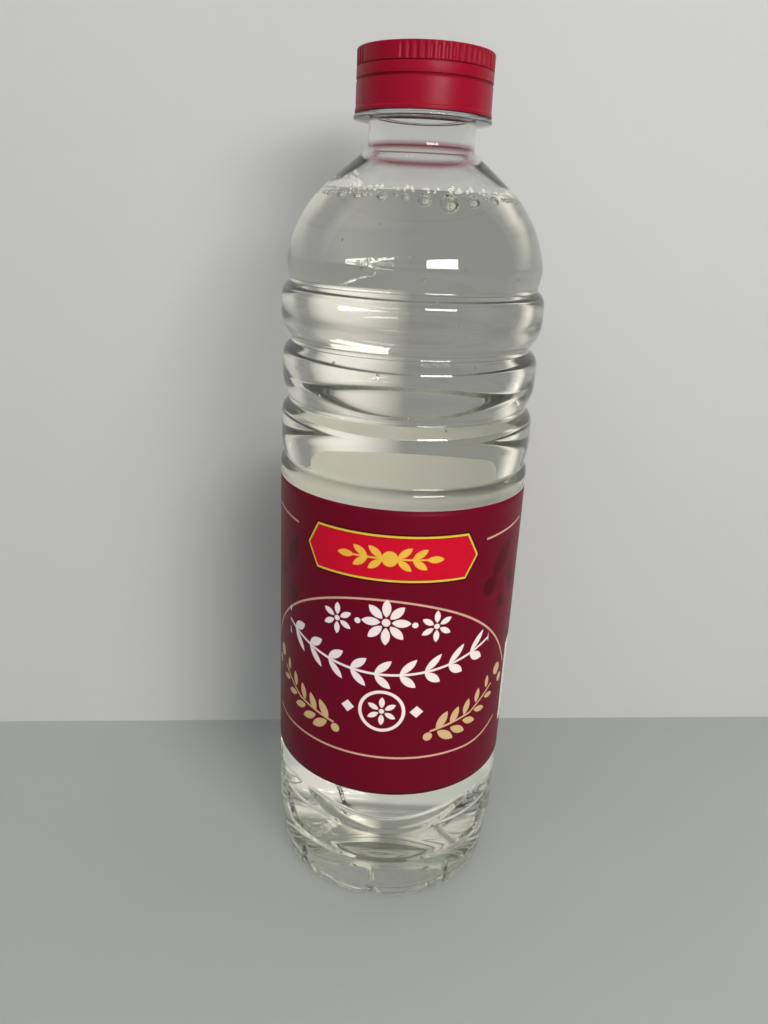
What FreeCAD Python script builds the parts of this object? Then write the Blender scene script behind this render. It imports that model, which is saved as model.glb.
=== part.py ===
"""A half-litre vinegar bottle, standing upright.

A clear moulded bottle with a waisted upper body, a smooth label panel and a notched foot; a label
wrapped round the panel; a two-part red closure on the neck; and the vinegar inside, up to its level.
Origin at the centre of the foot, +Z up, the front of the label towards -Y.  Millimetres.
Angles round the bottle are degrees from the front, seen from above.
"""
import FreeCAD
import Part
import math
import os

# ---- driving sizes -------------------------------------------------------------------------
body_radius = 31.0              # the side between foot and label
panel_length = 79.6             # the straight stretch that carries the label
finish_radius = 13.0            # the neck end that the closure grips
finish_length = 11.2            # from the clear ring's top to the mouth
fill_depth = 26.7               # from the mouth down to the vinegar's level

# ---- walls ---------------------------------------------------------------------------------
body_wall = 0.50
neck_wall = 1.10
heel_wall = 1.60
foot_wall = 1.90                # the base is left thick by the moulding

# ---- foot ----------------------------------------------------------------------------------
foot_inset = 5.0                # from the side to the outer edge of the standing ring
foot_ring_width = 2.4
heel_inset = 1.5
heel_height = 4.5
crease_inset = 0.65             # the foot leans out a little up to its crease
crease_height = 14.3
crease_rise = 1.9
punt_height = 6.0               # how far the underside domes up
notch_count = 9                 # notches through the standing ring
notch_depth = 0.9
notch_rod = 2.4                 # radius of the rounded notch's section
notch_first_angle = -6.0
notch_start = 115.0             # degrees below level where it starts, under the foot
notch_end = 10.0                # degrees above level where it ends on the side

# ---- pressed dimples between foot and label ------------------------------------------------
# each row: first angle, height of the middle, rise of the tips, half its span in degrees,
# radius of the rounded section that presses it, depth
dimple_rows = [(0.0, 27.0, 5.2, 40.0, 6.5, 0.45), (45.0, 22.0, 2.4, 25.0, 12.0, 0.40)]
dimple_count = 4
dimple_tip_depth = 0.06

# ---- label panel and ridge -----------------------------------------------------------------
panel_foot = 35.4
panel_inset = 0.05
ridge_lift = 1.2                # the ridge that ends the panel
ridge_proud = 0.15

# ---- waists above the label, from the lowest up --------------------------------------------
# each: step up from what is below, how far its bottom lies inside the side, and how far the
# barrel below it stands out of the side
waists = [(2.5, 0.90, 0.15), (14.0, 1.90, 0.0), (14.1, 2.30, -0.20), (13.7, 1.70, 0.15)]
waist_upper_flank = 6.0
waist_lower_flank = 4.0
waist_round = 1.2

# ---- shoulder and neck ---------------------------------------------------------------------
shoulder_inset = 0.8            # the dome's side, where it would be upright
shoulder_round = 27.4           # the dome's own round
shoulder_lift = 0.5             # height of the dome's centre over the top waist
shoulder_start = 8.5            # degrees above level where the dome takes over from the waist
shoulder_turn = 50.0            # degrees that the dome turns in before its straight cone
neck_radius = 12.0
neck_length = 5.6               # from the cone's end to the clear ring
ring_thickness = 0.9            # clear ring under the closure
ring_overhang = 2.5             # beyond the neck end

# ---- closure -------------------------------------------------------------------------------
closure_wall = 1.90
closure_fit = 0.20              # clearance round the neck end
closure_seat = 0.40             # clearance over the clear ring
closure_top = 1.80              # thickness of the lid's top
top_round = 0.6                 # the lid's rounded top edge
band_height = 6.4               # lower band, up to the parting
parting_groove_height = 0.6
parting_groove_depth = 0.45
bead_height = 0.7               # bead at the lower band's foot
bead_proud = 0.15
rib_height = 2.9                # the ribs end at the rounded top edge
rib_step_depth = 0.30           # the ribs stand on a ring this much smaller
rib_line = 0.25                 # fine line under the ribs
rib_pitches = 60                # ribs that would fill the whole round
rib_depth = 0.28
rib_land = 0.45                 # share of a pitch that stays at full radius
plain_centre = -44.0            # the lid is plain here
plain_width = 36.0

# ---- label ---------------------------------------------------------------------------------
label_thickness = 0.15
label_margin = 1.45             # bare panel left at each end of the label

# ---- places that follow from the sizes -----------------------------------------------------
panel_radius = body_radius - panel_inset
panel_top = panel_foot + panel_length
ridge_radius = body_radius + ridge_proud
ridge_height = panel_top + ridge_lift
foot_ring_outer = body_radius - foot_inset
foot_ring_inner = foot_ring_outer - foot_ring_width
heel_radius = body_radius - heel_inset
heel_round = heel_radius - foot_ring_outer
dome_centre = (body_radius - shoulder_inset - shoulder_round,
               ridge_height + sum(step for step, depth, proud in waists) + shoulder_lift)
turn = math.radians(shoulder_turn)
cone_foot_radius = dome_centre[0] + shoulder_round * math.cos(turn)
cone_foot_height = dome_centre[1] + shoulder_round * math.sin(turn)
neck_root_height = cone_foot_height + (cone_foot_radius - neck_radius) / math.tan(turn)
ring_height = neck_root_height + neck_length
finish_foot = ring_height + ring_thickness
mouth_height = finish_foot + finish_length
fill_level = mouth_height - fill_depth
closure_radius = finish_radius + closure_fit + closure_wall
closure_foot = finish_foot + closure_seat
parting_height = closure_foot + band_height
lid_top = mouth_height + closure_top
ribs_top_height = lid_top - top_round
ribs_foot_height = ribs_top_height - rib_height


def point(radius, height):
    """A point of a half outline, in the plane of X and Z."""
    return FreeCAD.Vector(radius, 0.0, height)


class Outline:
    """A half outline drawn edge by edge, turned round Z when it is closed."""

    def __init__(self, radius, height):
        self.radius, self.height = radius, height
        self.start = (radius, height)
        self.edges = []

    def line(self, radius, height):
        self.edges.append(Part.LineSegment(point(self.radius, self.height), point(radius, height)).toShape())
        self.radius, self.height = radius, height

    def arc(self, centre, angle_from, angle_to, size):
        """A round of the given size about a centre, from one angle to the other, in degrees."""
        places = [point(centre[0] + size * math.cos(math.radians(angle)),
                        centre[1] + size * math.sin(math.radians(angle)))
                  for angle in (angle_from, 0.5 * (angle_from + angle_to), angle_to)]
        self.line_if_apart(places[0])
        self.edges.append(Part.Arc(*places).toShape())
        self.radius, self.height = places[2].x, places[2].z

    def bend(self, middle, end):
        """A round through a middle place to its end."""
        self.edges.append(Part.Arc(point(self.radius, self.height), point(*middle), point(*end)).toShape())
        self.radius, self.height = end

    def line_if_apart(self, place):
        if place.distanceToPoint(point(self.radius, self.height)) > 1e-6:
            self.line(place.x, place.z)

    def solid(self):
        self.line(*self.start)
        return Part.Face(Part.Wire(self.edges)).revolve(FreeCAD.Vector(), FreeCAD.Vector(0, 0, 1), 360)


def flank(outline, barrel_radius, barrel_height, waist_radius, waist_height, inset, from_barrel):
    """Two tangent rounds that lead from a barrel's side to a waist's bottom, or back.

    Both ends are upright.  The rounds' sizes add up to (rise^2 + depth^2) / (2 depth), and the one at
    the waist is waist_round.  An inset moves both rounds inwards about the same centres.
    """
    rise = abs(waist_height - barrel_height)
    depth = barrel_radius - waist_radius
    both = (rise ** 2 + depth ** 2) / (2.0 * depth)
    barrel_round = both - waist_round
    turn = math.degrees(math.asin(rise / both))
    side = 1.0 if waist_height > barrel_height else -1.0
    barrel_centre = (barrel_radius - barrel_round, barrel_height)
    waist_centre = (waist_radius + waist_round, waist_height)
    if from_barrel:
        outline.arc(barrel_centre, 0.0, side * turn, barrel_round - inset)
        outline.arc(waist_centre, 180.0 + side * turn, 180.0, waist_round + inset)
    else:
        outline.arc(waist_centre, 180.0, 180.0 + side * turn, waist_round + inset)
        outline.arc(barrel_centre, side * turn, 0.0, barrel_round - inset)


def waisted_side(outline, inset):
    """The side from the label's ridge up through the waists and over the shoulder's dome."""
    below = None
    height = ridge_height
    for step, depth, proud in waists:
        barrel = body_radius + proud
        bottom = body_radius - depth
        if below is None:
            flank(outline, barrel, height, bottom, height + step, inset, True)
        else:
            flank(outline, barrel, height + waist_upper_flank, below, height, inset, False)
            flank(outline, barrel, height + step - waist_lower_flank, bottom, height + step, inset, True)
        below = bottom
        height += step
    start = math.radians(shoulder_start)
    widest = dome_centre[0] + shoulder_round * math.cos(start)
    flank(outline, widest, dome_centre[1] + shoulder_round * math.sin(start), below, height, inset, False)
    outline.arc(dome_centre, shoulder_start, shoulder_turn, shoulder_round - inset)


def bottle_outside():
    """Everything inside the bottle's outer face, as one solid of revolution."""
    punt_round = (foot_ring_inner ** 2 + punt_height ** 2) / (2.0 * punt_height)
    punt_angle = math.degrees(math.asin(foot_ring_inner / punt_round))
    outline = Outline(0.0, punt_height)
    outline.arc((0.0, punt_height - punt_round), 90.0, 90.0 - punt_angle, punt_round)
    outline.line(foot_ring_outer, 0.0)
    outline.bend((foot_ring_outer + heel_round * math.sin(math.pi / 4),
                  heel_height * (1.0 - math.cos(math.pi / 4))), (heel_radius, heel_height))
    outline.line(body_radius - crease_inset, crease_height)
    outline.line(panel_radius, crease_height + crease_rise)
    outline.line(panel_radius, panel_top)
    outline.line(ridge_radius, ridge_height)
    waisted_side(outline, 0.0)
    outline.line(neck_radius, neck_root_height)
    outline.line(neck_radius, ring_height)
    outline.line(finish_radius + ring_overhang, ring_height)
    outline.line(finish_radius + ring_overhang, finish_foot)
    outline.line(finish_radius, finish_foot)
    outline.line(finish_radius, mouth_height)
    outline.line(0.0, mouth_height)
    return outline.solid()


def bottle_inside(top):
    """The hollow of the bottle, from its floor up to the given height in the neck or shoulder."""
    floor_round = (foot_ring_inner ** 2 + punt_height ** 2) / (2.0 * punt_height) + foot_wall
    floor_edge = foot_ring_inner - foot_wall
    floor_angle = math.degrees(math.asin(floor_edge / floor_round))
    outline = Outline(0.0, punt_height + foot_wall)
    outline.arc((0.0, punt_height + foot_wall - floor_round), 90.0, 90.0 - floor_angle, floor_round)
    outline.bend((foot_ring_outer + 0.3 * heel_wall, foot_wall + 0.6 * heel_wall),
                 (heel_radius - heel_wall, heel_height + 2.0 * heel_wall))
    outline.line(panel_radius - body_wall, panel_foot)
    outline.line(panel_radius - body_wall, panel_top)
    outline.line(ridge_radius - body_wall, ridge_height)
    waisted_side(outline, body_wall)
    outline.line(neck_radius - neck_wall, neck_root_height - neck_wall)
    outline.line(neck_radius - neck_wall, mouth_height)
    outline.line(0.0, mouth_height)
    hollow = outline.solid()
    keep = Part.makeCylinder(2.0 * body_radius, top)
    return hollow.common(keep) if top < mouth_height else hollow


def turned(shape, angle):
    """A copy of a shape turned round Z."""
    copy = shape.copy()
    copy.rotate(FreeCAD.Vector(), FreeCAD.Vector(0, 0, 1), angle)
    return copy


def rod_round(radius, rod, sweep):
    """A bent rod: part of a ring lying flat about the origin, from +X on through the sweep."""
    return Part.makeTorus(radius, rod, FreeCAD.Vector(), FreeCAD.Vector(0, 0, 1), -180, 180, sweep)


def foot_notch():
    """The bent rod that cuts a notch through the standing ring and round the heel, at the front."""
    rod = rod_round(heel_round + notch_rod - notch_depth, notch_rod, notch_start + notch_end)
    rod.rotate(FreeCAD.Vector(), FreeCAD.Vector(1, 0, 0), 90)
    rod.rotate(FreeCAD.Vector(), FreeCAD.Vector(0, 1, 0), notch_start)
    rod.translate(FreeCAD.Vector(foot_ring_outer, 0, heel_height))
    return turned(rod, -90)


def dimple(height, rise, half_span, rod, depth):
    """The bent, tilted rod that presses a dimple: deepest at the front, nearly gone at its tips.

    Its middle line lies this far from the axis: at the front the side's radius plus the rod's less
    the depth, at the tips less the tip depth.  The tilt lifts the tips by the rise.
    """
    half = math.radians(half_span)
    middle = panel_radius + rod - depth
    tip = panel_radius + rod - dimple_tip_depth
    back = middle - tip * math.cos(half)
    tilt = math.atan(rise / back)
    half_sweep = 2.0 * math.atan(back / math.cos(tilt) / (tip * math.sin(half)))
    radius = tip * math.sin(half) / math.sin(half_sweep)
    ring = rod_round(radius, rod, 2.0 * math.degrees(half_sweep))
    ring = turned(ring, -90.0 - math.degrees(half_sweep))
    ring.rotate(FreeCAD.Vector(), FreeCAD.Vector(1, 0, 0), math.degrees(tilt))
    ring.translate(FreeCAD.Vector(0, radius * math.cos(tilt) - middle, height + radius * math.sin(tilt)))
    return ring


def bottle():
    """The clear bottle: outside less hollow, foot notches and pressed dimples."""
    notches = [turned(foot_notch(), notch_first_angle + 360.0 / notch_count * place)
               for place in range(notch_count)]
    dimples = [turned(dimple(*sizes), first + 360.0 / dimple_count * place)
               for first, *sizes in dimple_rows for place in range(dimple_count)]
    return bottle_outside().cut(bottle_inside(mouth_height)).cut(notches + dimples)


def vinegar():
    """The filling, which meets the bottle's inner face everywhere and ends flat at its level."""
    return bottle_inside(fill_level)


def label():
    """The printed film wrapped right round the panel."""
    height = panel_length - 2.0 * label_margin
    place = FreeCAD.Vector(0, 0, panel_foot + label_margin)
    outer = Part.makeCylinder(panel_radius + label_thickness, height, place)
    return outer.cut(Part.makeCylinder(panel_radius, height, place))


def grip_bore(foot, top):
    """The round space for the neck end inside the closure."""
    return Part.makeCylinder(finish_radius + closure_fit, top - foot, FreeCAD.Vector(0, 0, foot))


def closure_band():
    """The lower red band, with a bead at its foot and half of the parting groove at its top."""
    groove_foot = parting_height - parting_groove_height / 2.0
    outline = Outline(0.0, closure_foot)
    outline.line(closure_radius + bead_proud, closure_foot)
    outline.line(closure_radius + bead_proud, closure_foot + bead_height)
    outline.line(closure_radius, closure_foot + bead_height + bead_proud)
    outline.line(closure_radius, groove_foot)
    outline.line(closure_radius - parting_groove_depth, groove_foot)
    outline.line(closure_radius - parting_groove_depth, parting_height)
    outline.line(0.0, parting_height)
    return outline.solid().cut(grip_bore(closure_foot, parting_height))


def ribbed_ring():
    """The lid's ribs: one land and one flute for each pitch, left plain over one stretch."""
    pitch = 360.0 / rib_pitches
    places = []
    for rib in range(rib_pitches):
        away = ((rib + 0.5) * pitch - plain_centre + 180.0) % 360.0 - 180.0
        flute = 0.0 if abs(away) < plain_width / 2.0 else rib_depth
        flute_middle = 0.5 * (1.0 + rib_land)
        for share, radius in ((0.0, closure_radius), (rib_land, closure_radius),
                              (flute_middle, closure_radius - flute)):
            angle = math.radians((rib + share) * pitch - 90.0)
            places.append(FreeCAD.Vector(radius * math.cos(angle), radius * math.sin(angle),
                                         ribs_foot_height))
    return Part.Face(Part.makePolygon(places + places[:1])).extrude(FreeCAD.Vector(0, 0, rib_height))


def closure_lid():
    """The upper red lid: a plain ring, a fine line, the ribs and a rounded top edge."""
    step = closure_radius - rib_step_depth
    groove_top = parting_height + parting_groove_height / 2.0
    outline = Outline(0.0, parting_height)
    outline.line(closure_radius - parting_groove_depth, parting_height)
    outline.line(closure_radius - parting_groove_depth, groove_top)
    outline.line(closure_radius, groove_top)
    outline.line(closure_radius, ribs_foot_height - rib_line)
    outline.line(step, ribs_foot_height - rib_line)
    outline.line(step, ribs_top_height)
    outline.arc((step - top_round, ribs_top_height), 0.0, 90.0, top_round)
    outline.line(0.0, lid_top)
    return outline.solid().fuse(ribbed_ring()).cut(grip_bore(parting_height, mouth_height))


def main():
    os.makedirs("parts", exist_ok=True)
    pieces = {"bottle": bottle(), "vinegar": vinegar(), "label": label(),
              "closure_band": closure_band(), "closure_lid": closure_lid()}
    for name, shape in pieces.items():
        solid = shape.Solids[0]
        box = solid.optimalBoundingBox(False, False)
        print(name, "solids", len(shape.Solids), "valid", solid.isValid(),
              "volume", round(solid.Volume / 1000.0, 2), "ml",
              "z", round(box.ZMin, 2), "to", round(box.ZMax, 2), "radius", round(box.XMax, 2))
        solid.exportStep("parts/" + name + ".step")


main()
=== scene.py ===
# %% [markdown]
# # A vinegar bottle
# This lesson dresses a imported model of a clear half-litre bottle.  The frame gives the size and place
# of every piece; here each one gets a finer surface and the finish of the real thing.  A clear bottle
# is hard on a renderer, so the order is: outlines, wall, filling and bubbles, closure, label, light.

# %% Load the frame
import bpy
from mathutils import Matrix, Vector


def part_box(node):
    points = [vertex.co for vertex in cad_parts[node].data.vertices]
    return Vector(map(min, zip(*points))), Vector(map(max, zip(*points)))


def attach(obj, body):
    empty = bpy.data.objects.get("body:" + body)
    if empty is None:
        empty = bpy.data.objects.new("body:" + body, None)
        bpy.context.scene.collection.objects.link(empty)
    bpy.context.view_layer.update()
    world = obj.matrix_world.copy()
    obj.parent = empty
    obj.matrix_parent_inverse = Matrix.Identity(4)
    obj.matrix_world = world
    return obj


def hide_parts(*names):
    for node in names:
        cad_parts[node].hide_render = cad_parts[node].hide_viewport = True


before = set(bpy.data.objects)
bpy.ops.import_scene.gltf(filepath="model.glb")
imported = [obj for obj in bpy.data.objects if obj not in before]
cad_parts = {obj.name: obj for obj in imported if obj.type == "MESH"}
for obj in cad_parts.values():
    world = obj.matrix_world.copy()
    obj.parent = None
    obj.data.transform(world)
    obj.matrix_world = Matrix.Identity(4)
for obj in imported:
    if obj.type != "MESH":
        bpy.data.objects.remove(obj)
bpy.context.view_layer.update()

import copy
import math
import bpy
import numpy as np
from mathutils import Matrix, Vector

MM = 0.001
bpy.context.scene.view_settings.view_transform = "Standard"

# %% [markdown]
# ## Sizes
# The pieces must agree with the frame to a hair, because the vinegar meets the wall it stands in.
# What can be read from the frame is read from it; the rest repeats the sizes the model was built
# from, in millimetres.

# %% Sizes that the frame gives
low, high = {}, {}
for node in ("label", "closure_lid", "closure_band", "bottle", "vinegar"):
    low[node], high[node] = (np.array(corner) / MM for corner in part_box(node))

label_radius, closure_radius = high["label"][0], high["closure_lid"][0]
label_foot, label_top = low["label"][2], high["label"][2]
mouth_height, fill_level = high["bottle"][2], high["vinegar"][2]
closure_foot, parting_height, lid_top = low["closure_band"][2], low["closure_lid"][2], high["closure_lid"][2]
print("label", label_foot, label_top, "level", fill_level, "mouth", mouth_height, "lid", lid_top)

# %% Sizes that repeat the model's own
body_radius = 31.0
body_wall, neck_wall, heel_wall, foot_wall = 0.50, 1.10, 1.60, 1.90
foot_ring_outer, foot_ring_inner, punt_height = 26.0, 23.6, 6.0
heel_radius, heel_height = 29.5, 4.5
crease_inset, crease_height, crease_rise = 0.65, 14.3, 1.9
panel_foot, panel_radius = 35.4, 30.95
ridge_radius, ridge_height = 31.15, 116.2
panel_top = ridge_height - 1.2
waists = [(2.5, 0.90, 0.15), (14.0, 1.90, 0.0), (14.1, 2.30, -0.20), (13.7, 1.70, 0.15)]
waist_upper_flank, waist_lower_flank, waist_round = 6.0, 4.0, 1.2
shoulder_round, shoulder_start, shoulder_turn = 27.4, 8.5, 50.0
neck_radius, neck_length = 12.0, 5.6
ring_radius, ring_thickness, finish_radius = 15.5, 0.9, 13.0
dome_centre = (2.8, ridge_height + sum(waist[0] for waist in waists) + 0.5)
notch_count, notch_first_angle, notch_depth, notch_half_width = 9, -6.0, 0.9, 1.5

turn = math.radians(shoulder_turn)
cone_foot = (dome_centre[0] + shoulder_round * math.cos(turn),
             dome_centre[1] + shoulder_round * math.sin(turn))
neck_root = cone_foot[1] + (cone_foot[0] - neck_radius) / math.tan(turn)
ring_height = neck_root + neck_length
finish_foot = ring_height + ring_thickness
print("neck root", round(neck_root, 2), "ring", round(ring_height, 2), "finish foot", round(finish_foot, 2))

# %% [markdown]
# ## Outlines
# Everything here but the bubbles is turned: a half outline carried round the axis.  An outline is a
# list of (radius, height) points.  Straight stretches need two points, rounds a few more, and every
# sharp corner gets a small round, because a real moulded edge always catches a thin line of light.

# %% Arcs and rounded corners
def arc(centre, start, end, size, points=8):
    """Points of a circle: centre plus size times (cos, sin) of angles from start to end, in degrees."""
    angles = np.radians(np.linspace(start, end, points))
    return np.stack([centre[0] + size * np.cos(angles), centre[1] + size * np.sin(angles)], axis=1)


def straight(start, end, points=2):
    """Evenly spaced points from start to end."""
    return np.linspace(start, end, points)


def rounded(corners, size, points=4):
    """Corners joined by straight lines, each inner one replaced by a bend of about the given size.

    The bend is the curve (1-t)^2 a + 2t(1-t) corner + t^2 b, with a and b at the given size from the
    corner, or a third of the way to its neighbour if that is nearer.
    """
    corners = np.array(corners, dtype=float)
    pieces = [corners[:1]]
    t = np.linspace(0.0, 1.0, points)[:, None]
    for before, corner, after in zip(corners[:-2], corners[1:-1], corners[2:]):
        back, ahead = before - corner, after - corner
        back_length, ahead_length = np.linalg.norm(back), np.linalg.norm(ahead)
        a = corner + back / back_length * min(size, back_length / 3.0)
        b = corner + ahead / ahead_length * min(size, ahead_length / 3.0)
        pieces.append((1 - t) ** 2 * a + 2 * t * (1 - t) * corner + t ** 2 * b)
    return np.vstack(pieces + [corners[-1:]])


def join(*pieces):
    """Outline pieces end to end, with points closer than a hundredth of a millimetre dropped."""
    points = np.vstack(pieces)
    gaps = np.linalg.norm(np.diff(points, axis=0), axis=1)
    return points[np.concatenate([[True], gaps > 0.01])]


# %% [markdown]
# The side of the bottle is a chain of barrels and waists.  Between a barrel and a waist run two
# rounds that touch: both ends are upright, and their sizes add up to (rise^2 + depth^2) / (2 depth).
# The inner face has the same centres, with the wall taken off one round and added to the other.

# %% The waisted side
def flank(barrel, waist, inset):
    """Points from a barrel's upright side to a waist's bottom; both are (radius, height)."""
    rise, depth = abs(waist[1] - barrel[1]), barrel[0] - waist[0]
    both = (rise ** 2 + depth ** 2) / (2.0 * depth)
    swing = math.degrees(math.asin(rise / both)) * (1.0 if waist[1] > barrel[1] else -1.0)
    outer = arc((barrel[0] - both + waist_round, barrel[1]), 0.0, swing, both - waist_round - inset, 7)
    inner = arc((waist[0] + waist_round, waist[1]), 180.0 + swing, 180.0, waist_round + inset, 6)
    return join(outer, inner)


def waisted_side(inset):
    """The side from the label's ridge, over four waists, to the foot of the shoulder's cone."""
    pieces = []
    below, height = None, ridge_height
    for step, depth, proud in waists:
        barrel, bottom = body_radius + proud, body_radius - depth
        if below is None:
            pieces.append(flank((barrel, height), (bottom, height + step), inset))
        else:
            pieces.append(flank((barrel, height + waist_upper_flank), (below, height), inset)[::-1])
            pieces.append(flank((barrel, height + step - waist_lower_flank), (bottom, height + step), inset))
        below, height = bottom, height + step
    start = math.radians(shoulder_start)
    dome_foot = (dome_centre[0] + shoulder_round * math.cos(start),
                 dome_centre[1] + shoulder_round * math.sin(start))
    pieces.append(flank(dome_foot, (below, height), inset)[::-1])
    pieces.append(arc(dome_centre, shoulder_start + 1.0, shoulder_turn, shoulder_round - inset, 22))
    return join(*pieces)


def outside():
    """The outer face from the middle of the underside up to the mouth's edge."""
    punt_round = (foot_ring_inner ** 2 + punt_height ** 2) / (2.0 * punt_height)
    punt_angle = math.degrees(math.asin(foot_ring_inner / punt_round))
    underside = arc((0.0, punt_height - punt_round), 90.0, 90.0 - punt_angle, punt_round, 22)
    ring = straight((foot_ring_inner + 0.3, 0.0), (foot_ring_outer, 0.0), 6)
    angles = np.radians(np.linspace(-86.0, 0.0, 14))
    heel = np.stack([foot_ring_outer + (heel_radius - foot_ring_outer) * np.cos(angles),
                     heel_height + heel_height * np.sin(angles)], axis=1)
    crease_radius, crease_top = body_radius - crease_inset, crease_height + crease_rise
    lean = straight((heel_radius + 0.04, heel_height + 0.5), (crease_radius - 0.03, crease_height - 0.4), 12)
    crease = rounded([(crease_radius, crease_height), (crease_radius + 0.15, crease_height + 0.5),
                      (panel_radius - 0.1, crease_top), (panel_radius, crease_top + 1.2)], 0.5)
    dimpled = straight((panel_radius, crease_top + 1.6), (panel_radius, panel_foot), 44)
    panel = rounded([(panel_radius, panel_foot + 1.0), (panel_radius, panel_top),
                     (ridge_radius - 0.02, ridge_height - 0.2)], 0.4)
    neck = rounded([cone_foot, (neck_radius, neck_root), (neck_radius, ring_height),
                    (ring_radius, ring_height), (ring_radius, finish_foot), (finish_radius, finish_foot),
                    (finish_radius, mouth_height), (neck_radius - neck_wall + 1.0, mouth_height)], 0.45, 5)
    return join(underside, ring, heel, lean, crease, dimpled, panel, waisted_side(0.0), neck[1:])


def inside(top, reach=0.0):
    """The inner face from the middle of the floor up to a height; reach pushes it into the wall."""
    floor_round = (foot_ring_inner ** 2 + punt_height ** 2) / (2.0 * punt_height) + foot_wall
    floor_edge = foot_ring_inner - foot_wall
    floor_angle = math.degrees(math.asin(floor_edge / floor_round))
    crown = punt_height + foot_wall
    floor = arc((0.0, crown - floor_round), 90.0, 90.0 - floor_angle, floor_round - reach, 16)
    corner = np.array([foot_ring_outer + heel_wall, foot_wall - 0.6 - reach])
    a, b = floor[-1], np.array([heel_radius - heel_wall + reach, heel_height + 2.0 * heel_wall])
    t = np.linspace(0.0, 1.0, 12)[1:, None]
    heel = (1 - t) ** 2 * a + 2 * t * (1 - t) * corner + t ** 2 * b
    wall = body_wall - reach
    side = straight((panel_radius - wall, panel_foot), (panel_radius - wall, panel_top), 3)
    bore = neck_radius - neck_wall + reach
    neck = rounded([(cone_foot[0] - wall, cone_foot[1]), (bore, neck_root - neck_wall),
                    (bore, mouth_height)], 2.0, 7)
    points = join(floor, heel, side, waisted_side(wall)[1:], neck[1:])
    if top >= mouth_height:
        return points
    cut = np.argmax(points[:, 1] > top) if np.any(points[:, 1] > top) else len(points)
    before, after = points[cut - 1], points[cut]
    share = (top - before[1]) / (after[1] - before[1])
    return np.vstack([points[:cut], before + share * (after - before)])


outer_face = outside()
inner_face = inside(mouth_height)
print("outer outline:", len(outer_face), "points; inner:", len(inner_face))

# %% [markdown]
# ## From outline to mesh
# A turned piece is a grid: one row for each outline point, one column for each direction.  An outline
# that starts and ends on the axis is closed with a fan of triangles at each pole; one that closes on
# itself, such as a sleeve, wraps in both directions.  All faces run anticlockwise seen from outside.

# %% Grids to meshes
def placed(name, data):
    """An object that shows the data, at the origin."""
    thing = bpy.data.objects.new(name, data)
    bpy.context.scene.collection.objects.link(thing)
    return thing


def mesh_piece(name, points, faces, material, replaces=()):
    """A mesh object on the root body, in metres, smooth, with its finish and what it stands for."""
    mesh = bpy.data.meshes.new(name)
    mesh.from_pydata((np.asarray(points) * MM).tolist(), [], faces)
    mesh.validate()
    mesh.polygons.foreach_set("use_smooth", [True] * len(mesh.polygons))
    mesh.materials.append(material)
    piece = placed(name, mesh)
    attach(piece, "root")
    for node in replaces:
        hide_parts(node)
    print(name, "triangles:", sum(len(face) - 2 for face in faces))
    return piece


def grid_faces(rows, columns, wrap_rows=False):
    """Quads between neighbouring rows, wrapping round the columns, and the rows too if asked."""
    row = np.arange(rows if wrap_rows else rows - 1)[:, None]
    column = np.arange(columns)[None, :]
    above, right = (row + 1) % rows, (column + 1) % columns
    quads = [row * columns + column, row * columns + right, above * columns + right, above * columns + column]
    return np.stack([np.broadcast_to(part, (len(row), columns)) for part in quads], axis=-1).reshape(-1, 4)


def turned(outline, angles, relief=None, pressed_rows=None):
    """Points of an outline carried round the axis, and faces with both poles closed.

    A relief is a depth worked out from angle, radius and height; it moves a point inwards, against
    the outline's own outward normal, in the first pressed_rows rows or in all of them.  The first
    and last outline points lie on the axis.
    """
    slope = np.gradient(outline, axis=0)
    slope /= np.linalg.norm(slope, axis=1, keepdims=True)
    radius, height = outline[1:-1, 0][:, None], outline[1:-1, 1][:, None]
    if relief is not None:
        depth = relief(angles[None, :], radius, height)
        if pressed_rows:
            depth[pressed_rows:] = 0.0
        radius = radius - depth * slope[1:-1, 1][:, None]
        height = height + depth * slope[1:-1, 0][:, None]
    around = np.radians(angles - 90.0)[None, :]
    rows, columns = len(outline) - 2, len(angles)
    grid = np.stack(np.broadcast_arrays(radius * np.cos(around), radius * np.sin(around), height), axis=-1)
    points = np.vstack([grid.reshape(-1, 3), [[0, 0, outline[0, 1]], [0, 0, outline[-1, 1]]]])
    faces = grid_faces(rows, columns).tolist()
    column = np.arange(columns)
    beside = (column + 1) % columns
    last = (rows - 1) * columns
    faces += np.stack([np.full(columns, rows * columns), beside, column], axis=1).tolist()
    faces += np.stack([np.full(columns, rows * columns + 1), last + column, last + beside], axis=1).tolist()
    return points, faces


def even_angles(columns):
    """Directions spaced evenly, in degrees from the front, anticlockwise from above."""
    return np.arange(columns) * 360.0 / columns


# %% [markdown]
# ## Shader maths
# One small class wraps a socket, so that a pattern is written as a formula and each operator adds the
# Math node it stands for.  One function adds any other node: its settings first, then its sockets.

# %% A socket that can be calculated with
def add_node(tree, kind, settings=None, inputs=None, output=0):
    """Adds a node, sets it up, fills or links its inputs, and returns one output, wrapped."""
    node = tree.nodes.new(kind)
    for key, value in (settings or {}).items():
        setattr(node, key, value)
    for key, value in (inputs or {}).items():
        if isinstance(value, Wire):
            tree.links.new(value.socket, node.inputs[key])
        else:
            node.inputs[key].default_value = value
    return Wire(node.outputs[output])


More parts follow.
